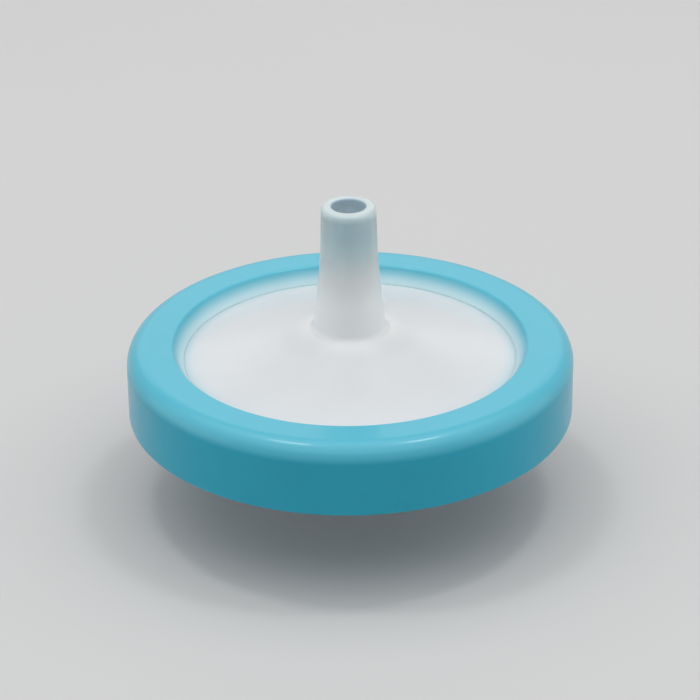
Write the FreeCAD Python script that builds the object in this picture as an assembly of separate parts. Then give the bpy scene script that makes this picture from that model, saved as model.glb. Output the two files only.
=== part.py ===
import FreeCAD, Part
import math
import os

# A disposable syringe filter, standing on the end of its inlet hub with the outlet spout up.
# All sizes are in millimetres. The origin is the centre of the hub's end face and the flow
# runs along +Z: in at the female luer hub, up through the membrane, out at the male spout.

# Membrane
MEMBRANE_OD = 26.4         # the cut disc
MEMBRANE_T = 0.15
MEMBRANE_PLAY = 0.10       # radial gap between the disc's edge and its seat
CLAMP_W = 1.0              # width of the disc's rim that the two halves grip

# Rims of the two halves
WELD_LAND_W = 1.4          # face outside the membrane seat, where the halves meet
INLET_RIM_T = 1.3
OUTLET_RIM_T = 1.6
KEY_H = 0.35               # bead on each rim that locks the band in place
KEY_W = 0.7
KEY_INSET = 0.6            # from the rim's edge to the bead

# Overmoulded band, a C section closed round both rims
BAND_WALL = 1.8            # outside the rims
UPPER_LIP_T = 1.2
LOWER_LIP_T = 1.3
LIP_REACH = 2.4            # how far each lip covers the rim
LIP_LEAN = 0.8             # how far a lip's inner wall leans outwards from foot to edge
LIP_EDGE_ROUND = 0.25
SHOULDER_ROUND = 1.4       # upper outer edge
BAND_EDGE_ROUND = 0.25     # lower outer edge

# Outlet half
DISC_RISE = 2.4            # from the foot of the band's lip up to the foot of the spout
SPOUT_LENGTH = 9.7         # from the spout's foot to its tip
SPOUT_FOOT_OD = 5.4
SPOUT_FOOT_ROUND = 0.5
TIP_OD = 4.0
TIP_CONE_L = 4.5           # length of true luer cone at the tip, which seats in a socket
TIP_BLEND_ROUND = 15.0     # eases the luer cone into the wider foot cone
TIP_ROUND = 0.3
OUTLET_BORE = 2.5
BORE_LIP_ROUND = 0.12
DRAIN_DEPTH = 0.35         # drain space over the membrane, at its rim
DRAIN_RISE = 2.0           # how much higher its ceiling is at the bore
DRAIN_RIBS = 48            # they carry the membrane against the flow
DRAIN_RIB_W = 0.6
DRAIN_RIB_LONG_R = 2.3     # where every fourth rib starts, near the bore
DRAIN_RIB_MID_R = 5.5      # where the ribs halfway between those start
DRAIN_RIB_SHORT_R = 9.5    # where all the others start

# Inlet half
HUB_STANDOFF = 7.1         # from the hub's end to the band's lower face
UNDER_DROP = 0.7           # how far the underside slopes down from the lip to the hub
HUB_END_OD = 6.4
HUB_ROOT_OD = 6.7
HUB_ROOT_ROUND = 0.8
HUB_EDGE_ROUND = 0.2
FEED_DEPTH = 0.4           # space under the membrane, at its rim
FEED_DIP = 0.3             # how much deeper it is at the centre
FEED_RIBS = 12
FEED_RIB_W = 0.6
FEED_RIB_INNER_R = 3.0
FEED_RIB_GAP = 0.12        # left between these ribs and the membrane
INLET_BORE = 2.0
SOCKET_FLOOR_T = 1.4       # material between the luer socket and the feed space

# Luer fittings
LUER_TAPER = 0.06          # on diameter, for the socket and for the spout's tip
SOCKET_MOUTH_D = 4.3
SOCKET_MOUTH_ROUND = 0.12
LUG_OD = 7.8               # across the two lugs of the female luer lock
LUG_ROOT_T = 1.2
LUG_CREST_T = 0.6
LUG_ANGLE = 60.0           # degrees of hub that each lug covers
LUG_LEAD = 5.0             # pitch of the lock thread that the lugs follow

# Radii
membrane_r = MEMBRANE_OD / 2
seat_r = membrane_r + MEMBRANE_PLAY
chamber_r = membrane_r - CLAMP_W
rim_r = seat_r + WELD_LAND_W
band_r = rim_r + BAND_WALL
lip_foot_r = rim_r - LIP_REACH
lip_edge_r = lip_foot_r + LIP_LEAN
key_out_r = rim_r - KEY_INSET
key_in_r = key_out_r - KEY_W
tip_r = TIP_OD / 2
cone_end_r = tip_r + TIP_CONE_L * LUER_TAPER / 2
spout_foot_r = SPOUT_FOOT_OD / 2
outlet_bore_r = OUTLET_BORE / 2
inlet_bore_r = INLET_BORE / 2
hub_end_r = HUB_END_OD / 2
hub_root_r = HUB_ROOT_OD / 2
socket_mouth_r = SOCKET_MOUTH_D / 2
lug_r = LUG_OD / 2

# Heights, from the hub's end up
band_bottom_z = HUB_STANDOFF
rim_bottom_z = band_bottom_z + LOWER_LIP_T
joint_z = rim_bottom_z + INLET_RIM_T
membrane_top_z = joint_z + MEMBRANE_T
rim_top_z = joint_z + OUTLET_RIM_T
band_top_z = rim_top_z + UPPER_LIP_T
spout_foot_z = rim_top_z + DISC_RISE
tip_z = spout_foot_z + SPOUT_LENGTH
cone_end_z = tip_z - TIP_CONE_L
drain_rim_z = membrane_top_z + DRAIN_DEPTH
drain_centre_z = drain_rim_z + DRAIN_RISE
hub_root_z = rim_bottom_z - UNDER_DROP
feed_rim_z = joint_z - FEED_DEPTH
feed_centre_z = feed_rim_z - FEED_DIP
socket_end_z = feed_centre_z - SOCKET_FLOOR_T
socket_end_r = socket_mouth_r - socket_end_z * LUER_TAPER / 2

ORIGIN = FreeCAD.Vector(0, 0, 0)
FLOW_AXIS = FreeCAD.Vector(0, 0, 1)


def rounded_outline(corners):
    """A closed wire in the XZ plane through corners of (radius, height, rounding)."""
    points = [FreeCAD.Vector(r, 0, z) for r, z, _ in corners]
    starts = []
    ends = []
    edges = []
    for i, (point, corner) in enumerate(zip(points, corners)):
        to_last = points[i - 1] - point
        to_next = points[(i + 1) % len(points)] - point
        half_angle = to_last.getAngle(to_next) / 2
        reach = corner[2] / math.tan(half_angle)
        reach = min(reach, 0.49 * to_last.Length, 0.49 * to_next.Length)
        to_last.normalize()
        to_next.normalize()
        starts.append(point + to_last * reach)
        ends.append(point + to_next * reach)
        if reach > 0:
            radius = reach * math.tan(half_angle)
            bisector = (to_last + to_next).normalize()
            crown = point + bisector * (radius / math.sin(half_angle) - radius)
            edges.append(Part.Arc(starts[i], crown, ends[i]).toShape())
    for i, end in enumerate(ends):
        edges.append(Part.makeLine(end, starts[(i + 1) % len(starts)]))
    return Part.Wire(Part.sortEdges(edges)[0])


def turned(corners):
    """The solid that an outline sweeps when it turns once round the flow axis."""
    return Part.Face(rounded_outline(corners)).revolve(ORIGIN, FLOW_AXIS, 360)


def radial_ribs(count, width, inner_radii, bottom_z, top_z):
    """Straight ribs that run out past the chamber wall, with inner ends that take turns."""
    ribs = []
    for i in range(count):
        inner_r = inner_radii[i % len(inner_radii)]
        corner = FreeCAD.Vector(inner_r, -width / 2, bottom_z)
        rib = Part.makeBox(rim_r - inner_r, width, top_z - bottom_z, corner)
        rib.rotate(ORIGIN, FLOW_AXIS, 360 * i / count)
        ribs.append(rib)
    return Part.makeCompound(ribs)


def make_membrane():
    """The thin disc between the halves."""
    return Part.makeCylinder(membrane_r, MEMBRANE_T, FreeCAD.Vector(0, 0, joint_z))


def make_outlet_housing():
    """The upper half: a shallow coned disc with the slip spout moulded on it."""
    body = turned([
        (outlet_bore_r, membrane_top_z, 0),
        (seat_r, membrane_top_z, 0),
        (seat_r, joint_z, 0),
        (rim_r, joint_z, 0),
        (rim_r, rim_top_z, 0),
        (key_out_r, rim_top_z, 0),
        (key_out_r, rim_top_z + KEY_H, 0),
        (key_in_r, rim_top_z + KEY_H, 0),
        (key_in_r, rim_top_z, 0),
        (lip_foot_r, rim_top_z, 0),
        (spout_foot_r, spout_foot_z, SPOUT_FOOT_ROUND),
        (cone_end_r, cone_end_z, TIP_BLEND_ROUND),
        (tip_r, tip_z, TIP_ROUND),
        (outlet_bore_r, tip_z, BORE_LIP_ROUND),
    ])
    drain = turned([
        (0, membrane_top_z, 0),
        (chamber_r, membrane_top_z, 0),
        (chamber_r, drain_rim_z, 0),
        (outlet_bore_r, drain_centre_z, 0),
        (0, drain_centre_z, 0),
    ])
    rib_starts = [DRAIN_RIB_LONG_R, DRAIN_RIB_SHORT_R, DRAIN_RIB_MID_R, DRAIN_RIB_SHORT_R]
    ribs = radial_ribs(DRAIN_RIBS, DRAIN_RIB_W, rib_starts, membrane_top_z, drain_centre_z)
    return body.cut(drain.cut(ribs))


def make_lug():
    """One ear of the female luer lock: a short piece of coarse thread."""
    mid_angle = LUG_ANGLE / 2
    helix_angle = math.degrees(math.atan(LUG_LEAD / (math.pi * LUG_OD)))
    rise = lug_r * math.sin(math.radians(mid_angle)) * math.sin(math.radians(helix_angle))
    buried_r = (socket_mouth_r + hub_end_r) / 2
    corners = [
        (buried_r, -LUG_ROOT_T / 2),
        (hub_end_r, -LUG_ROOT_T / 2),
        (lug_r, -LUG_CREST_T / 2),
        (lug_r, LUG_CREST_T / 2),
        (hub_end_r, LUG_ROOT_T / 2),
        (buried_r, LUG_ROOT_T / 2),
    ]
    points = [FreeCAD.Vector(r, 0, z) for r, z in corners]
    section = Part.Face(Part.makePolygon(points + points[:1]))
    section.rotate(ORIGIN, FLOW_AXIS, -mid_angle)
    lug = section.revolve(ORIGIN, FLOW_AXIS, LUG_ANGLE)
    lug.rotate(ORIGIN, FreeCAD.Vector(1, 0, 0), helix_angle)
    lug.translate(FreeCAD.Vector(0, 0, rise + LUG_ROOT_T / 2))
    return lug


def make_inlet_housing():
    """The lower half: a shallow coned disc with the female luer hub moulded under it."""
    body = turned([
        (socket_mouth_r, 0, SOCKET_MOUTH_ROUND),
        (hub_end_r, 0, HUB_EDGE_ROUND),
        (hub_root_r, hub_root_z, HUB_ROOT_ROUND),
        (lip_foot_r, rim_bottom_z, 0),
        (key_in_r, rim_bottom_z, 0),
        (key_in_r, rim_bottom_z - KEY_H, 0),
        (key_out_r, rim_bottom_z - KEY_H, 0),
        (key_out_r, rim_bottom_z, 0),
        (rim_r, rim_bottom_z, 0),
        (rim_r, joint_z, 0),
        (inlet_bore_r, joint_z, 0),
        (inlet_bore_r, socket_end_z, 0),
        (socket_end_r, socket_end_z, 0),
    ])
    feed = turned([
        (0, feed_centre_z, 0),
        (inlet_bore_r, feed_centre_z, 0),
        (chamber_r, feed_rim_z, 0),
        (chamber_r, joint_z, 0),
        (0, joint_z, 0),
    ])
    rib_top_z = joint_z - FEED_RIB_GAP
    ribs = radial_ribs(FEED_RIBS, FEED_RIB_W, [FEED_RIB_INNER_R], feed_centre_z, rib_top_z)
    body = body.cut(feed.cut(ribs))
    lug = make_lug()
    body = body.fuse(lug)
    lug.rotate(ORIGIN, FLOW_AXIS, 180)
    return body.fuse(lug).removeSplitter()


def make_seal_band():
    """The band: its lips cover both rims, and its inside is moulded to them."""
    return turned([
        (lip_foot_r, rim_top_z, 0),
        (key_in_r, rim_top_z, 0),
        (key_in_r, rim_top_z + KEY_H, 0),
        (key_out_r, rim_top_z + KEY_H, 0),
        (key_out_r, rim_top_z, 0),
        (rim_r, rim_top_z, 0),
        (rim_r, rim_bottom_z, 0),
        (key_out_r, rim_bottom_z, 0),
        (key_out_r, rim_bottom_z - KEY_H, 0),
        (key_in_r, rim_bottom_z - KEY_H, 0),
        (key_in_r, rim_bottom_z, 0),
        (lip_foot_r, rim_bottom_z, 0),
        (lip_edge_r, band_bottom_z, LIP_EDGE_ROUND),
        (band_r, band_bottom_z, BAND_EDGE_ROUND),
        (band_r, band_top_z, SHOULDER_ROUND),
        (lip_edge_r, band_top_z, LIP_EDGE_ROUND),
    ])


os.makedirs("parts", exist_ok=True)
pieces = {
    "outlet_housing": make_outlet_housing(),
    "inlet_housing": make_inlet_housing(),
    "membrane": make_membrane(),
    "seal_band": make_seal_band(),
}
for name, shape in pieces.items():
    shape.exportStep(f"parts/{name}.step")
    box = shape.optimalBoundingBox()
    print(f"{name}: {len(shape.Solids)} solid, valid {shape.isValid()}, {shape.Volume:.2f} mm3,",
          f"z {box.ZMin:.3f} to {box.ZMax:.3f}, across {box.XLength:.3f}")
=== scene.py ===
import math
from collections import namedtuple

import bmesh
import bpy
from bpy.props import FloatProperty, FloatVectorProperty, IntProperty, PointerProperty
from bpy.types import Operator, Panel, PropertyGroup
from mathutils import Matrix, Vector


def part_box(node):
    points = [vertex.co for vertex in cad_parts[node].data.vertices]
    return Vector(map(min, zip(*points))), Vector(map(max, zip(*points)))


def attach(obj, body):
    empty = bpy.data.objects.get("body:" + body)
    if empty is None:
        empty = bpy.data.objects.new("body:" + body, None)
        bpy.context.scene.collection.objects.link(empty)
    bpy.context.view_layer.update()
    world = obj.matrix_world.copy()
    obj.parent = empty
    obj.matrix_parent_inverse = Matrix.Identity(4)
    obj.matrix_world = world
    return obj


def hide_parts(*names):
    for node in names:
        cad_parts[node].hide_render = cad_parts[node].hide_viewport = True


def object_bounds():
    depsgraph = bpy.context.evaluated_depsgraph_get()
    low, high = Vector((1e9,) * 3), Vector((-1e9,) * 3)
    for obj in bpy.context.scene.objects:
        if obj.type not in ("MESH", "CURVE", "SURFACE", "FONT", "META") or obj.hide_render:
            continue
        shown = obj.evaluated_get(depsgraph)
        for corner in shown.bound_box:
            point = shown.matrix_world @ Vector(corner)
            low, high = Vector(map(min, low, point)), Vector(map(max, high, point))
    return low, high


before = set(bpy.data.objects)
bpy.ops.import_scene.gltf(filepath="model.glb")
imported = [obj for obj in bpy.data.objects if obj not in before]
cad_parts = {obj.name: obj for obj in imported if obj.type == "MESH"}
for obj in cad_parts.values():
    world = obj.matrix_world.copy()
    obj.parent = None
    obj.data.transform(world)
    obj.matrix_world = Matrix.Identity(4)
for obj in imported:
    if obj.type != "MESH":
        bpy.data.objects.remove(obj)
cad_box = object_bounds()

bl_info = {
    "name": "Syringe filter",
    "version": (1, 0, 0),
    "blender": (4, 5, 0),
    "location": "View3D > Sidebar > Syringe filter",
    "description": "Models a disposable syringe filter round its packed frame, and lights it",
    "category": "Object",
}

MM = 0.001
TURN = 2 * math.pi
ROUND_SEGMENTS = 288            # faces round each turned piece
ARC_STEP = math.radians(8)      # largest turn between two points of a rounded corner
ARC_LEAST = 3                   # fewest faces along a rounded corner
ROUND_SHARE = 0.49              # most of a straight run that one rounded corner takes
HOLD_SHARE = 0.02               # where a straight run gets its two extra loops, from each end
HOLD_LEAST = 0.08               # runs shorter than this share of the longest get none
MERGE_GAP = 0.001 * MM          # points nearer than this become one
SHARP_ANGLE = math.radians(28)  # edges that turn more than this stay sharp
FIT_GAP = 0.01 * MM             # left between moulded faces that touch, so that none coincide
CUT_PAST = 1.0 * MM             # how far a cutting shape reaches past the face that it opens

Grain = namedtuple("Grain", "feature detail")
CLOUD = Grain(4.5 * MM, 3)          # faint cloudy patches in a moulded colour
GLOSS_PATCH = Grain(1.0 * MM, 4)    # patches where a moulded skin is a little duller
PEEL = Grain(1.4 * MM, 1)           # orange peel on a moulded skin
PORES = Grain(0.1 * MM, 5)          # open pores of the membrane
FLOOR_CLOUD = Grain(60 * MM, 2)     # faint patches on the floor
NOISE_LOW, NOISE_HIGH = 0.3, 0.7    # most values of a noise lie between these
PEEL_HEIGHT = 0.0025 * MM
PORE_HEIGHT = 0.01 * MM
GLOSS_PLAY = 0.1                    # share by which a moulded skin's roughness varies
PLASTIC_IOR = 1.5
BAND_SPECULAR = 0.3
RESIN_SPECULAR = 0.4
FLOOR_SPECULAR = 0.3
BAND_GLOW_REACH = (0.3, 0.8, 1.0)   # how far red, green and blue light spreads, in glow depths
RESIN_GLOW_REACH = (1.0, 1.05, 1.1)
RIM_CLEAR_SHARE = 0.5               # of the wall's clearness, at the paler edge round the tip
FLOOR_SEGMENTS = 96
NEAREST_SEEN = 0.01                 # where the camera's view starts, in metres


# The planes and radii that the pieces share

def radius_of(node):
    """A node's largest radius about the flow axis."""
    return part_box(node)[1].x


def floor_of(node):
    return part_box(node)[0].z


def top_of(node):
    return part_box(node)[1].z


def rim_levels(band):
    """Lower and upper face of the joined rims, under and over which the lips lie."""
    return floor_of("seal_band") + band.lower_lip, top_of("seal_band") - band.upper_lip


def lip_radii(band):
    """Radius of a lip's inner wall at its foot and at its edge."""
    foot = radius_of("outlet_housing") - band.lip_reach
    return foot, foot + band.lip_lean


def key_radii(band):
    """Inner and outer radius of the locking bead."""
    outer = radius_of("outlet_housing") - band.key_inset
    return outer - band.key_width, outer


def spout_foot(band, outlet):
    """Height of the spout's foot."""
    return rim_levels(band)[1] + outlet.disc_rise


# Settings

def length(name, description, millimetres):
    """A length property, given in millimetres and held in metres."""
    return FloatProperty(name=name, description=description, default=millimetres * MM,
                         unit="LENGTH", precision=5)


def colour(name, description, linear):
    return FloatVectorProperty(name=name, description=description, default=linear,
                               subtype="COLOR", size=3, min=0, max=1)


def share(name, description, value):
    return FloatProperty(name=name, description=description, default=value,
                         subtype="FACTOR", min=0, max=1)


class BandSettings(PropertyGroup):
    """The blue band that is moulded round both rims."""

    upper_lip: length("Upper lip", "Thickness of the lip over the outlet rim", 1.2)
    lower_lip: length("Lower lip", "Thickness of the lip under the inlet rim", 1.3)
    lip_reach: length("Lip reach", "How far each lip covers the rim", 2.4)
    lip_lean: length("Lip lean", "How far a lip's inner wall leans outwards", 0.8)
    lip_round: length("Lip edge round", "Rounding of the lips' inner edges", 0.25)
    shoulder_round: length("Shoulder round", "Rounding of the upper outer edge", 1.4)
    edge_round: length("Lower edge round", "Rounding of the lower outer edge", 0.25)
    key_height: length("Key height", "Height of the bead that locks the band", 0.35)
    key_width: length("Key width", "Width of that bead", 0.7)
    key_inset: length("Key inset", "From the rim's edge to the bead", 0.6)
    colour: colour("Colour", "Moulded colour of the band", (0.002, 0.385, 0.545))
    # Painted light: the top is painted paler, as if lit from above; the lip there also lies thin over
    # the white rim.
    painted_top_light: colour("Lip colour", "Its colour on top, where it lies thin over the white rim",
                       (0.077, 0.460, 0.595))
    painted_top_fade: length("Lip fade", "Height over which the wall's colour turns into it", 0.6)
    feather: colour("Feather", "Colour where a lip thins out on the disc", (0.560, 0.765, 0.825))
    mottle: share("Mottle", "How much darker its cloudy patches are", 0.05)
    roughness: share("Roughness", "0 is polished and 1 is dull", 0.33)
    coat: share("Coat", "Strength of the gloss over the colour", 0.3)
    coat_roughness: share("Coat roughness", "0 is polished and 1 is dull", 0.09)
    glow_share: share("Glow", "Share of the light that spreads inside the band", 0.15)
    glow: length("Glow depth", "How far that light spreads", 0.5)


class OutletSettings(PropertyGroup):
    """The upper half, with the male slip spout."""

    disc_rise: length("Disc rise", "From the lip's foot up to the spout's foot", 2.4)
    foot_diameter: length("Spout foot", "Diameter of the spout at its foot", 5.4)
    foot_round: length("Foot round", "Fillet round the spout's foot", 0.5)
    tip_diameter: length("Tip", "Diameter of the spout at its tip", 4.0)
    tip_cone: length("Tip cone", "Length of the luer cone at the tip", 4.5)
    tip_blend: length("Tip blend", "Radius that eases the two cones together", 15.0)
    tip_round: length("Tip round", "Rounding of the tip's outer edge", 0.3)
    bore: length("Bore", "Diameter of the flow hole", 2.5)
    bore_round: length("Bore lip round", "Rounding of the hole's edge", 0.12)
    clamp: length("Clamp width", "Width of the membrane's rim that is gripped", 1.0)
    seat_play: length("Seat play", "Gap round the membrane's edge", 0.1)
    drain_depth: length("Drain depth", "Drain space over the membrane, at its rim", 0.35)
    drain_rise: length("Drain rise", "How much higher its ceiling is at the bore", 2.0)
    rib_count: IntProperty(name="Ribs", description="Ribs over the membrane", default=48, min=4)
    rib_width: length("Rib width", "Width of one rib", 0.6)
    rib_long: length("Long ribs", "Radius where every fourth rib starts", 2.3)
    rib_mid: length("Mid ribs", "Radius where the ribs halfway between start", 5.5)
    rib_short: length("Short ribs", "Radius where all other ribs start", 9.5)


class InletSettings(PropertyGroup):
    """The lower half, with the female luer lock hub."""

    under_drop: length("Underside drop", "How far the underside slopes down to the hub", 0.7)
    hub_end: length("Hub end", "Diameter of the hub's end", 6.4)
    hub_root: length("Hub root", "Diameter of the hub at its root", 6.7)
    hub_root_round: length("Hub root round", "Fillet round the hub's root", 0.8)
    hub_edge_round: length("Hub edge round", "Rounding of the hub's outer edge", 0.2)
    socket_mouth: length("Socket mouth", "Diameter of the luer socket's mouth", 4.3)
    socket_round: length("Socket edge round", "Rounding of the socket's mouth", 0.12)
    socket_floor: length("Socket floor", "Material between the socket and the feed space", 1.4)
    luer_taper: share("Luer taper", "Change of diameter for each unit of length", 0.06)
    bore: length("Bore", "Diameter of the flow hole", 2.0)
    feed_depth: length("Feed depth", "Space under the membrane, at its rim", 0.4)
    feed_dip: length("Feed dip", "How much deeper it is at the centre", 0.3)
    rib_count: IntProperty(name="Ribs", description="Ribs under the membrane", default=12, min=3)
    rib_width: length("Rib width", "Width of one rib", 0.6)
    rib_start: length("Rib start", "Radius where the ribs start", 3.0)
    rib_gap: length("Rib gap", "Left between the ribs and the membrane", 0.12)
    lug_diameter: length("Lugs", "Diameter across the two lugs", 7.8)
    lug_root: length("Lug root", "Thickness of a lug at the hub", 1.2)
    lug_crest: length("Lug crest", "Thickness of a lug at its crest", 0.6)
    lug_lead: length("Lug lead", "Pitch of the thread that the lugs follow", 5.0)
    lug_angle: FloatProperty(name="Lug angle", description="Turn of hub that each lug covers",
                             default=math.radians(60), subtype="ANGLE")


class FinishSettings(PropertyGroup):
    """The cloudy white moulding resin and the membrane."""

    disc: colour("Disc", "Colour of the resin in the two discs", (0.682, 0.701, 0.719))
    mottle: share("Mottle", "How much darker its cloudy patches are", 0.03)
    # Painted light: the spout is painted far brighter than the disc, for light that the resin carries up
    # into it.
    spout_foot: colour("Spout foot", "Its colour at the spout's foot", (0.970, 0.975, 0.975))
    spout_tip: colour("Spout tip", "Its colour where the spout is thin", (0.760, 0.930, 0.985))
    # Painted shade: the flow hole is painted darker near the tip, where little light reaches.
    painted_bore_shade: colour("Bore tint", "Its colour in the flow hole, where little light reaches",
                      (0.420, 0.530, 0.600))
    bore_shade_depth: length("Bore depth", "Height under the tip over which that colour grows", 5.0)
    clearness: share("Clearness", "Share of the light that passes through the thin wall", 0.65)
    clear_start: length("Clear start", "Height above the spout's foot where light starts to pass", 2.0)
    clear_run: length("Clear run", "Height over which it grows to its full share", 6.5)
    rim_height: length("Pale rim", "Height of the paler edge round the tip", 0.7)
    roughness: share("Roughness", "0 is polished and 1 is dull", 0.21)
    glow_share: share("Glow", "Share of the light that spreads inside the resin", 0.8)
    glow: length("Glow depth", "How far that light spreads", 1.2)
    # Painted light: the band's blue light, painted on the resin beside it.
    painted_band_light: colour("Edge tint", "What the band's blue makes of the resin beside it",
                      (0.270, 0.620, 0.720))
    band_light_reach: length("Edge reach", "How far that tint spreads to each side of the lip's foot", 1.1)
    membrane: colour("Membrane", "Colour of the membrane", (0.880, 0.880, 0.860))
    pore_mottle: share("Pore mottle", "How much darker the membrane's pores are", 0.06)
    membrane_roughness: share("Membrane roughness", "0 is polished and 1 is dull", 0.8)


class StudioSettings(PropertyGroup):
    """Floor, lights and camera."""

    floor: colour("Floor", "Colour of the floor", (0.600, 0.600, 0.600))
    floor_mottle: share("Floor mottle", "How much darker its patches are", 0.02)
    floor_roughness: share("Floor roughness", "0 is polished and 1 is dull", 0.7)
    floor_radius: length("Floor radius", "How far the floor reaches", 1500)
    ambient: share("Ambient light", "Strength of the light from all round", 0.25)
    camera_behind: length("Camera distance", "How far the camera stands in front", 189.4)
    camera_height: length("Camera height", "Height of the camera above the floor", 108.8)
    camera_aside: length("Camera offset", "How far the camera stands to the right", -0.3)
    camera_lens: FloatProperty(name="Lens", description="Focal length", default=148,
                               unit="CAMERA", min=20)
    camera_roll: FloatProperty(name="Roll", description="Turn of the picture",
                               default=math.radians(-0.6), subtype="ANGLE")


# Mesh tools

def rounded(corners):
    """Points round a closed outline, from corners of (radius, height, rounding)."""
    points = []
    for i, corner in enumerate(corners):
        here = Vector(corner[:2])
        back = Vector(corners[i - 1][:2]) - here
        ahead = Vector(corners[(i + 1) % len(corners)][:2]) - here
        half = back.angle(ahead) / 2
        reach = min(corner[2] / math.tan(half), ROUND_SHARE * back.length, ROUND_SHARE * ahead.length)
        if reach <= 0:
            points.append(here)
            continue
        back.normalize()
        ahead.normalize()
        centre = here + (back + ahead).normalized() * (reach / math.cos(half))
        arm = here + back * reach - centre
        turn = math.copysign(math.pi - 2 * half, ahead.cross(back))
        steps = max(ARC_LEAST, math.ceil(abs(turn) / ARC_STEP))
        for k in range(steps + 1):
            points.append(centre + Matrix.Rotation(turn * k / steps, 2) @ arm)
    return points


def with_holding_loops(points):
    """The same outline with two more points on each straight run, which keep its shading flat."""
    runs = [(points[i - 1], point) for i, point in enumerate(points)]
    longest = max((b - a).length for a, b in runs)
    held = []
    for start, end in runs:
        if (end - start).length > longest * HOLD_LEAST:
            held.append(start.lerp(end, HOLD_SHARE))
            held.append(start.lerp(end, 1 - HOLD_SHARE))
        held.append(end)
    return held


def turned(name, corners, segments=ROUND_SEGMENTS):
    """A closed mesh that an outline sweeps when it turns once round the flow axis."""
    outline = with_holding_loops(rounded(corners))
    bm = bmesh.new()
    rings = []
    for i in range(segments):
        spin = Matrix.Rotation(TURN * i / segments, 3, "Z")
        rings.append([bm.verts.new(spin @ Vector((p.x, 0, p.y))) for p in outline])
    for ring, following in zip(rings, rings[1:] + rings[:1]):
        join_rings(bm, ring, following)
    merge_slivers(bm)
    bmesh.ops.recalc_face_normals(bm, faces=bm.faces)
    return finished_object(name, bm)


def join_rings(bm, near, far):
    """Makes a face between each side of one closed ring of points and the same side of the next."""
    for j in range(len(near)):
        k = (j + 1) % len(near)
        bm.faces.new((near[j], far[j], far[k], near[k]))


def merge_slivers(bm):
    """Merges points that all but coincide, so that no face is thinner than the merging gap."""
    bmesh.ops.remove_doubles(bm, verts=bm.verts, dist=MERGE_GAP)
    bmesh.ops.dissolve_degenerate(bm, edges=bm.edges, dist=MERGE_GAP)


def finished_object(name, bm):
    """A smooth-shaded object of a bmesh, with its real corners kept sharp."""
    mesh = bpy.data.meshes.new(name)
    bm.to_mesh(mesh)
    bm.free()
    obj = bpy.data.objects.new(name, mesh)
    bpy.context.scene.collection.objects.link(obj)
    shade(mesh)
    return obj


def shade(mesh):
    mesh.shade_smooth()
    mesh.set_sharp_from_angle(angle=SHARP_ANGLE)


def combine(body, tool, operation):
    """Cuts the tool out of the body or adds it to the body, and uses the tool up."""
    step = body.modifiers.new(operation.lower(), "BOOLEAN")
    step.operation = operation
    step.object = tool
    step.solver = "EXACT"
    graph = bpy.context.evaluated_depsgraph_get()
    mesh = bpy.data.meshes.new_from_object(body.evaluated_get(graph))
    if not mesh.polygons:
        raise RuntimeError(f"{body.name}: the {operation.lower()} with {tool.name} left nothing")
    bm = bmesh.new()
    bm.from_mesh(mesh)
    merge_slivers(bm)
    bm.to_mesh(mesh)
    bm.free()
    body.modifiers.clear()
    spent = body.data
    body.data = mesh
    bpy.data.meshes.remove(spent)
    bpy.data.objects.remove(tool)
    mesh.name = body.name
    shade(mesh)


def radial_ribs(name, count, width, starts, end, floor, top):
    """Straight ribs from the radii in starts, which take turns, out to the radius end."""
    bm = bmesh.new()
    for i in range(count):
        start = starts[i % len(starts)]
        size = Matrix.Diagonal((end - start, width, top - floor, 1))
        place = Matrix.Translation(((start + end) / 2, 0, (floor + top) / 2))
        spin = Matrix.Rotation(TURN * i / count, 4, "Z")
        bmesh.ops.create_cube(bm, size=1, matrix=spin @ place @ size)
    return finished_object(name, bm)


def finish_piece(piece, material, node):
    """Puts a turned piece in place of its node, on the part's one body."""
    piece.data.materials.clear()
    piece.data.materials.append(material)
    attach(piece, "root")
    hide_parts(node)


# Materials

def node_material(name):
    """A new material, with its node tree and its shader."""
    material = bpy.data.materials.new(name)
    material.use_nodes = True
    return material, material.node_tree, material.node_tree.nodes["Principled BSDF"]


def noise(tree, grain):
    """The value of a noise with this grain, in the part's own frame."""
    place = tree.nodes.new("ShaderNodeTexCoord")
    texture = tree.nodes.new("ShaderNodeTexNoise")
    texture.inputs["Scale"].default_value = 1 / grain.feature
    texture.inputs["Detail"].default_value = grain.detail
    tree.links.new(place.outputs["Object"], texture.inputs["Vector"])
    return texture.outputs["Fac"]


def spread(tree, value, low, high):
    """A noise's value, stretched to run from low to high."""
    node = tree.nodes.new("ShaderNodeMapRange")
    node.inputs["From Min"].default_value = NOISE_LOW
    node.inputs["From Max"].default_value = NOISE_HIGH
    node.inputs["To Min"].default_value = low
    node.inputs["To Max"].default_value = high
    tree.links.new(value, node.inputs["Value"])
    return node.outputs["Result"]


def mottled(tree, tint, value, depth):
    """The tint, darkened by up to depth where the value is low."""
    mix = tree.nodes.new("ShaderNodeMix")
    mix.data_type = "RGBA"
    mix.inputs["A"].default_value = (*[c * (1 - depth) for c in tint], 1)
    mix.inputs["B"].default_value = (*tint, 1)
    tree.links.new(spread(tree, value, 0, 1), mix.inputs["Factor"])
    return mix.outputs["Result"]


def place_on_part(tree):
    """The shaded point's radius about the flow axis, and its height."""
    place = tree.nodes.new("ShaderNodeTexCoord").outputs["Object"]
    flat = tree.nodes.new("ShaderNodeVectorMath")
    flat.operation = "MULTIPLY"
    flat.inputs[1].default_value = (1, 1, 0)
    radius = tree.nodes.new("ShaderNodeVectorMath")
    radius.operation = "LENGTH"
    split = tree.nodes.new("ShaderNodeSeparateXYZ")
    tree.links.new(place, flat.inputs[0])
    tree.links.new(flat.outputs["Vector"], radius.inputs[0])
    tree.links.new(place, split.inputs[0])
    return radius.outputs["Value"], split.outputs["Z"]


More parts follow.
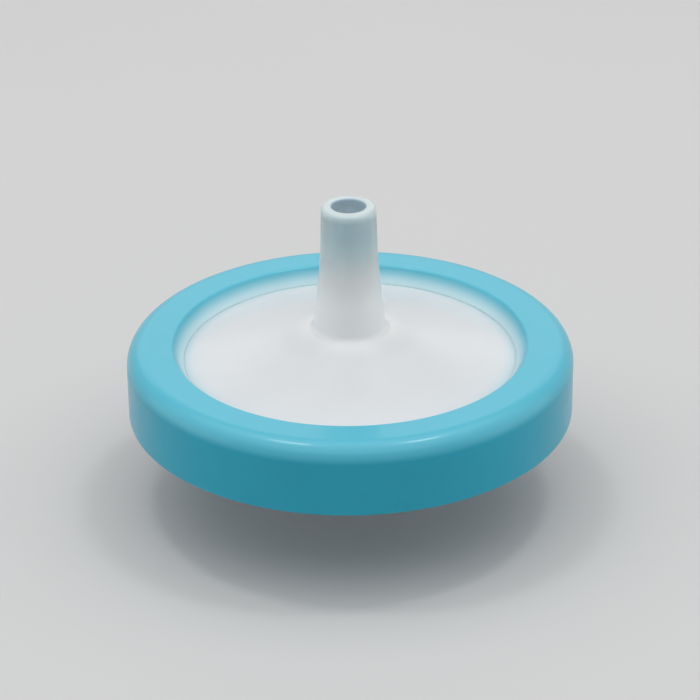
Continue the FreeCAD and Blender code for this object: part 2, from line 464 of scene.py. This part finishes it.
def ramp(tree, value, start, end, low=0, high=1):
    """Eases from low to high while the value goes from start to end."""
    node = tree.nodes.new("ShaderNodeMapRange")
    node.interpolation_type = "SMOOTHSTEP"
    node.inputs["From Min"].default_value = start
    node.inputs["From Max"].default_value = end
    node.inputs["To Min"].default_value = low
    node.inputs["To Max"].default_value = high
    tree.links.new(value, node.inputs["Value"])
    return node.outputs["Result"]


def product(tree, first, second):
    node = tree.nodes.new("ShaderNodeMath")
    node.operation = "MULTIPLY"
    tree.links.new(first, node.inputs[0])
    tree.links.new(second, node.inputs[1])
    return node.outputs[0]


def blended(tree, paint, tint, amount):
    """The paint, which turns to the tint as the amount goes from 0 to 1."""
    mix = tree.nodes.new("ShaderNodeMix")
    mix.data_type = "RGBA"
    mix.inputs["B"].default_value = (*tint, 1)
    tree.links.new(amount, mix.inputs["Factor"])
    tree.links.new(paint, mix.inputs["A"])
    return mix.outputs["Result"]


def bump(tree, shader, value, height):
    node = tree.nodes.new("ShaderNodeBump")
    node.inputs["Strength"].default_value = 1
    node.inputs["Distance"].default_value = height
    tree.links.new(value, node.inputs["Height"])
    tree.links.new(node.outputs["Normal"], shader.inputs["Normal"])


def moulded_gloss(tree, shader, roughness, specular):
    """A gloss that varies a little, over a faint orange peel."""
    patches = noise(tree, GLOSS_PATCH)
    rough = spread(tree, patches, roughness * (1 - GLOSS_PLAY), roughness * (1 + GLOSS_PLAY))
    tree.links.new(rough, shader.inputs["Roughness"])
    bump(tree, shader, noise(tree, PEEL), PEEL_HEIGHT)
    shader.inputs["IOR"].default_value = PLASTIC_IOR
    shader.inputs["Specular IOR Level"].default_value = specular


def inner_glow(shader, share_of_light, depth, reach):
    """Light that spreads under the surface, each colour as far as its own reach."""
    shader.inputs["Subsurface Weight"].default_value = share_of_light
    shader.inputs["Subsurface Radius"].default_value = reach
    shader.inputs["Subsurface Scale"].default_value = depth


def blue_skin(band):
    """Opaque blue with a thin gloss, with painted light that makes its top paler, and paler where the
    lips thin out on the disc.
    """
    material, tree, shader = node_material("blue_skin")
    paint = mottled(tree, band.colour, noise(tree, CLOUD), band.mottle)
    radius, height = place_on_part(tree)
    shoulder = top_of("seal_band") - band.shoulder_round
    # Painted light: paler from the shoulder up, as if lit from above.
    paint = blended(tree, paint, band.painted_top_light, ramp(tree, height, shoulder, shoulder + band.painted_top_fade))
    lip_foot, lip_edge = lip_radii(band)
    paint = blended(tree, paint, band.feather, ramp(tree, radius, lip_edge, lip_foot))
    tree.links.new(paint, shader.inputs["Base Color"])
    moulded_gloss(tree, shader, band.roughness, BAND_SPECULAR)
    shader.inputs["Coat Weight"].default_value = band.coat
    shader.inputs["Coat Roughness"].default_value = band.coat_roughness
    inner_glow(shader, band.glow_share, band.glow, BAND_GLOW_REACH)
    return material


def cloudy_resin(scene):
    """Cloudy resin that glows: painted blue light beside the band, painted light that brightens the
    spout, painted shade down the bore, and clearer up the thin wall of the spout.
    """
    band, outlet, finish = scene.filter_band, scene.filter_outlet, scene.filter_finish
    material, tree, shader = node_material("cloudy_resin")
    radius, height = place_on_part(tree)
    lip_foot = lip_radii(band)[0]
    foot, tip = spout_foot(band, outlet), top_of("outlet_housing")
    clear_start = foot + finish.clear_start
    # Painted light: blue light from the band, painted on the resin to each side of the lip's foot.
    band_light_mask = ramp(tree, radius, lip_foot - finish.band_light_reach, lip_foot + finish.band_light_reach)
    spout_light_mask = ramp(tree, height, foot - outlet.foot_round, foot + outlet.foot_round)
    up_spout = ramp(tree, height, clear_start, clear_start + finish.clear_run)
    paint = mottled(tree, finish.disc, noise(tree, CLOUD), finish.mottle)
    paint = blended(tree, paint, finish.painted_band_light, band_light_mask)
    # Painted light: the spout painted brighter than the disc.
    paint = blended(tree, paint, finish.spout_foot, spout_light_mask)
    paint = blended(tree, paint, finish.spout_tip, up_spout)
    bore = outlet.bore / 2
    # Painted shade down the bore, growing towards the tip.
    bore_shade_mask = product(tree, ramp(tree, radius, bore + outlet.bore_round, bore),
                      ramp(tree, height, tip - finish.bore_shade_depth, tip))
    paint = blended(tree, paint, finish.painted_bore_shade, bore_shade_mask)
    tree.links.new(paint, shader.inputs["Base Color"])
    clear = product(tree, up_spout, ramp(tree, height, tip - finish.rim_height, tip,
                                         finish.clearness, finish.clearness * RIM_CLEAR_SHARE))
    tree.links.new(clear, shader.inputs["Transmission Weight"])
    moulded_gloss(tree, shader, finish.roughness, RESIN_SPECULAR)
    inner_glow(shader, finish.glow_share, finish.glow, RESIN_GLOW_REACH)
    return material


def resin(scene):
    """The resin that both halves share, made for the first of them."""
    return bpy.data.materials.get("cloudy_resin") or cloudy_resin(scene)


def pored_film(finish):
    """Dull white polymer film with fine open pores."""
    material, tree, shader = node_material("pored_film")
    pores = noise(tree, PORES)
    paint = mottled(tree, finish.membrane, pores, finish.pore_mottle)
    tree.links.new(paint, shader.inputs["Base Color"])
    bump(tree, shader, pores, PORE_HEIGHT)
    shader.inputs["Roughness"].default_value = finish.membrane_roughness
    return material


def floor_material(studio):
    material, tree, shader = node_material("pale_floor")
    paint = mottled(tree, studio.floor, noise(tree, FLOOR_CLOUD), studio.floor_mottle)
    tree.links.new(paint, shader.inputs["Base Color"])
    shader.inputs["Roughness"].default_value = studio.floor_roughness
    shader.inputs["Specular IOR Level"].default_value = FLOOR_SPECULAR
    return material


# Pieces

class MakeBand(Operator):
    """Turn the blue band, a C section that closes round both rims"""

    bl_idname = "syringe_filter.make_band"
    bl_label = "Make the band"

    def execute(self, context):
        band = context.scene.filter_band
        rim_bottom, rim_top = rim_levels(band)
        key_in, key_out = key_radii(band)
        band_bottom, band_top = floor_of("seal_band"), top_of("seal_band")
        outer = radius_of("seal_band")
        rim = radius_of("outlet_housing") + FIT_GAP
        lip_foot, lip_edge = lip_radii(band)
        over, under = rim_top + FIT_GAP, rim_bottom - FIT_GAP
        key_top, key_bottom = over + band.key_height, under - band.key_height
        piece = turned("seal_band_moulded", [
            (lip_foot, over, 0),
            (key_in - FIT_GAP, over, 0),
            (key_in - FIT_GAP, key_top, 0),
            (key_out + FIT_GAP, key_top, 0),
            (key_out + FIT_GAP, over, 0),
            (rim, over, 0),
            (rim, under, 0),
            (key_out + FIT_GAP, under, 0),
            (key_out + FIT_GAP, key_bottom, 0),
            (key_in - FIT_GAP, key_bottom, 0),
            (key_in - FIT_GAP, under, 0),
            (lip_foot, under, 0),
            (lip_edge, band_bottom, band.lip_round),
            (outer, band_bottom, band.edge_round),
            (outer, band_top, band.shoulder_round),
            (lip_edge, band_top, band.lip_round),
        ])
        finish_piece(piece, blue_skin(band), "seal_band")
        return {"FINISHED"}


class MakeOutlet(Operator):
    """Turn the upper half with its spout, and carve the ribbed drain space into it"""

    bl_idname = "syringe_filter.make_outlet"
    bl_label = "Make the outlet half"

    def execute(self, context):
        outlet, band = context.scene.filter_outlet, context.scene.filter_band
        rim_top = rim_levels(band)[1]
        key_in, key_out = key_radii(band)
        rim, joint = radius_of("outlet_housing"), floor_of("outlet_housing")
        tip_z, membrane_top = top_of("outlet_housing"), top_of("membrane")
        seat = membrane_top + FIT_GAP
        seat_r = radius_of("membrane") + outlet.seat_play
        bore, tip = outlet.bore / 2, outlet.tip_diameter / 2
        cone_end = tip + outlet.tip_cone * context.scene.filter_inlet.luer_taper / 2
        foot_z = spout_foot(band, outlet)
        piece = turned("outlet_housing_moulded", [
            (bore, seat, 0),
            (seat_r, seat, 0),
            (seat_r, joint + FIT_GAP, 0),
            (rim, joint + FIT_GAP, 0),
            (rim, rim_top, 0),
            (key_out, rim_top, 0),
            (key_out, rim_top + band.key_height, 0),
            (key_in, rim_top + band.key_height, 0),
            (key_in, rim_top, 0),
            (lip_radii(band)[0], rim_top, 0),
            (outlet.foot_diameter / 2, foot_z, outlet.foot_round),
            (cone_end, tip_z - outlet.tip_cone, outlet.tip_blend),
            (tip, tip_z, outlet.tip_round),
            (bore, tip_z, outlet.bore_round),
        ])
        chamber = radius_of("membrane") - outlet.clamp
        ceiling = seat + outlet.drain_depth + outlet.drain_rise
        drain = turned("drain_space", [
            (0, joint - CUT_PAST, 0),
            (chamber, joint - CUT_PAST, 0),
            (chamber, seat + outlet.drain_depth, 0),
            (bore, ceiling, 0),
            (0, ceiling, 0),
        ])
        starts = [outlet.rib_long, outlet.rib_short, outlet.rib_mid, outlet.rib_short]
        ribs = radial_ribs("drain_ribs", outlet.rib_count, outlet.rib_width, starts,
                           rim, joint - 2 * CUT_PAST, ceiling + CUT_PAST)
        combine(drain, ribs, "DIFFERENCE")
        combine(piece, drain, "DIFFERENCE")
        finish_piece(piece, resin(context.scene), "outlet_housing")
        return {"FINISHED"}


class MakeInlet(Operator):
    """Turn the lower half with its hub, carve its feed space and add the two lugs"""

    bl_idname = "syringe_filter.make_inlet"
    bl_label = "Make the inlet half"

    def execute(self, context):
        inlet, band = context.scene.filter_inlet, context.scene.filter_band
        rim_bottom = rim_levels(band)[0]
        key_in, key_out = key_radii(band)
        rim, joint = radius_of("inlet_housing"), top_of("inlet_housing")
        chamber = radius_of("membrane") - context.scene.filter_outlet.clamp
        feed_rim = joint - inlet.feed_depth
        feed_centre = feed_rim - inlet.feed_dip
        socket_end = feed_centre - inlet.socket_floor
        mouth, bore = inlet.socket_mouth / 2, inlet.bore / 2
        piece = turned("inlet_housing_moulded", [
            (mouth, 0, inlet.socket_round),
            (inlet.hub_end / 2, 0, inlet.hub_edge_round),
            (inlet.hub_root / 2, rim_bottom - inlet.under_drop, inlet.hub_root_round),
            (lip_radii(band)[0], rim_bottom, 0),
            (key_in, rim_bottom, 0),
            (key_in, rim_bottom - band.key_height, 0),
            (key_out, rim_bottom - band.key_height, 0),
            (key_out, rim_bottom, 0),
            (rim, rim_bottom, 0),
            (rim, joint, 0),
            (bore, joint, 0),
            (bore, socket_end, 0),
            (mouth - socket_end * inlet.luer_taper / 2, socket_end, 0),
        ])
        feed = turned("feed_space", [
            (0, feed_centre, 0),
            (bore, feed_centre, 0),
            (chamber, feed_rim, 0),
            (chamber, joint + CUT_PAST, 0),
            (0, joint + CUT_PAST, 0),
        ])
        ribs = radial_ribs("feed_ribs", inlet.rib_count, inlet.rib_width, [inlet.rib_start],
                           rim, feed_centre - CUT_PAST, joint - inlet.rib_gap)
        combine(feed, ribs, "DIFFERENCE")
        combine(piece, feed, "DIFFERENCE")
        for side in (0, math.pi):
            combine(piece, make_lug(inlet, side), "UNION")
        finish_piece(piece, resin(context.scene), "inlet_housing")
        return {"FINISHED"}


def make_lug(inlet, side):
    """One ear of the luer lock: a short piece of coarse thread with softened edges."""
    root, crest = inlet.lug_root / 2, inlet.lug_crest / 2
    hub, outer = inlet.hub_end / 2, inlet.lug_diameter / 2
    buried = (inlet.socket_mouth / 2 + hub) / 2    # halfway through the hub's wall
    section = [(buried, -root), (hub, -root), (outer, -crest),
               (outer, crest), (hub, root), (buried, root)]
    helix = math.atan(inlet.lug_lead / (math.pi * inlet.lug_diameter))
    rise = outer * math.sin(inlet.lug_angle / 2) * math.sin(helix)
    place = Matrix.Translation((0, 0, rise + root)) @ Matrix.Rotation(helix, 4, "X")
    place = Matrix.Rotation(side, 4, "Z") @ place
    steps = math.ceil(inlet.lug_angle / TURN * ROUND_SEGMENTS)
    bm = bmesh.new()
    slices = []
    for i in range(steps + 1):
        spin = Matrix.Rotation(inlet.lug_angle * (i / steps - 0.5), 4, "Z")
        slices.append([bm.verts.new(place @ spin @ Vector((r, 0, z))) for r, z in section])
    for near, far in zip(slices, slices[1:]):
        join_rings(bm, near, far)
    bm.faces.new(slices[0])
    bm.faces.new(slices[-1])
    bmesh.ops.recalc_face_normals(bm, faces=bm.faces)
    return finished_object("lug", bm)


class FinishMembrane(Operator):
    """Give the membrane its dull white, fine-pored finish"""

    bl_idname = "syringe_filter.finish_membrane"
    bl_label = "Finish the membrane"

    def execute(self, context):
        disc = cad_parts["membrane"]
        disc.data.materials.clear()
        disc.data.materials.append(pored_film(context.scene.filter_finish))
        return {"FINISHED"}


# Stage

Lamp = namedtuple("Lamp", "name direction width depth power")    # in metres and watts
LAMP_DISTANCE = 0.45                                              # from the middle of the part
LAMPS = (
    Lamp("back_soft_box", (0, 0.88, 0.47), 0.50, 0.16, 0.15),
    Lamp("top_soft_box", (0, -0.10, 1), 0.75, 0.75, 1.95),
    Lamp("left_soft_box", (-0.88, 0, 0.42), 0.42, 0.42, 0.36),
    Lamp("right_soft_box", (0.88, 0, 0.42), 0.42, 0.42, 0.36),
    Lamp("left_lamp", (-0.24, 0.09, 0.96), 0.05, 0.07, 0.20),
    Lamp("right_lamp", (0.28, 0.09, 0.95), 0.05, 0.07, 0.20),
)


def area_light(lamp):
    """A soft box that faces the middle of the part."""
    light = bpy.data.lights.new(lamp.name, "AREA")
    light.shape = "RECTANGLE"
    light.size = lamp.width
    light.size_y = lamp.depth
    light.energy = lamp.power
    obj = bpy.data.objects.new(lamp.name, light)
    bpy.context.scene.collection.objects.link(obj)
    aim = (cad_box[0] + cad_box[1]) / 2
    obj.location = aim + Vector(lamp.direction).normalized() * LAMP_DISTANCE
    obj.rotation_mode = "QUATERNION"
    obj.rotation_quaternion = (aim - obj.location).to_track_quat("-Z", "Y")
    obj.visible_camera = False


class MakeStudio(Operator):
    """Lay the floor, and set the lights and the camera"""

    bl_idname = "syringe_filter.make_studio"
    bl_label = "Make the studio"

    def execute(self, context):
        studio = context.scene.filter_studio
        self.lay_floor(studio)
        self.set_world(context.scene, studio)
        for lamp in LAMPS:
            area_light(lamp)
        self.set_camera(context.scene, studio)
        context.scene.view_settings.view_transform = "Standard"
        return {"FINISHED"}

    def lay_floor(self, studio):
        bm = bmesh.new()
        bmesh.ops.create_circle(bm, cap_ends=True, segments=FLOOR_SEGMENTS,
                                radius=studio.floor_radius)
        floor = finished_object("floor", bm)
        floor.data.materials.append(floor_material(studio))

    def set_world(self, scene, studio):
        """Even light from all round, which camera, gloss and clear plastic see as the floor's tone."""
        world = bpy.data.worlds.new("studio_air")
        world.use_nodes = True
        tree = world.node_tree
        path = tree.nodes.new("ShaderNodeLightPath")
        seen = path.outputs["Is Camera Ray"]
        for ray in ("Is Glossy Ray", "Is Transmission Ray"):
            either = tree.nodes.new("ShaderNodeMath")
            either.operation = "MAXIMUM"
            tree.links.new(seen, either.inputs[0])
            tree.links.new(path.outputs[ray], either.inputs[1])
            seen = either.outputs[0]
        mix = tree.nodes.new("ShaderNodeMix")
        mix.data_type = "RGBA"
        mix.inputs["A"].default_value = (studio.ambient, studio.ambient, studio.ambient, 1)
        mix.inputs["B"].default_value = (*studio.floor, 1)
        tree.links.new(seen, mix.inputs["Factor"])
        tree.links.new(mix.outputs["Result"], tree.nodes["Background"].inputs["Color"])
        scene.world = world

    def set_camera(self, scene, studio):
        camera = bpy.data.cameras.new("camera")
        camera.lens = studio.camera_lens
        camera.clip_start = NEAREST_SEEN
        obj = bpy.data.objects.new("camera", camera)
        scene.collection.objects.link(obj)
        obj.location = (studio.camera_aside, -studio.camera_behind, studio.camera_height)
        aim = (cad_box[0] + cad_box[1]) / 2
        look = (aim - obj.location).to_track_quat("-Z", "Y").to_matrix()
        obj.rotation_euler = (look @ Matrix.Rotation(studio.camera_roll, 3, "Z")).to_euler()
        scene.camera = obj


class FilterPanel(Panel):
    """Sizes, finishes and steps of the syringe filter"""

    bl_idname = "VIEW3D_PT_syringe_filter"
    bl_label = "Syringe filter"
    bl_space_type = "VIEW_3D"
    bl_region_type = "UI"
    bl_category = "Syringe filter"

    def draw(self, context):
        for setting, group in SETTINGS.items():
            box = self.layout.box()
            box.label(text=group.__doc__)
            for key in group.__annotations__:
                box.prop(getattr(context.scene, setting), key)
        for step in STEPS:
            self.layout.operator(step.bl_idname)


SETTINGS = {
    "filter_band": BandSettings,
    "filter_outlet": OutletSettings,
    "filter_inlet": InletSettings,
    "filter_finish": FinishSettings,
    "filter_studio": StudioSettings,
}
STEPS = (MakeBand, MakeOutlet, MakeInlet, FinishMembrane, MakeStudio)


def register():
    for group in SETTINGS.values():
        bpy.utils.register_class(group)
    for name, group in SETTINGS.items():
        setattr(bpy.types.Scene, name, PointerProperty(type=group))
    for cls in (*STEPS, FilterPanel):
        bpy.utils.register_class(cls)


def unregister():
    for cls in (FilterPanel, *reversed(STEPS)):
        bpy.utils.unregister_class(cls)
    for name in SETTINGS:
        delattr(bpy.types.Scene, name)
    for group in reversed(SETTINGS.values()):
        bpy.utils.unregister_class(group)


def main():
    register()
    bpy.ops.syringe_filter.make_band()
    bpy.ops.syringe_filter.make_outlet()
    bpy.ops.syringe_filter.make_inlet()
    bpy.ops.syringe_filter.finish_membrane()
    bpy.ops.syringe_filter.make_studio()


if __name__ == "__main__":
    main()
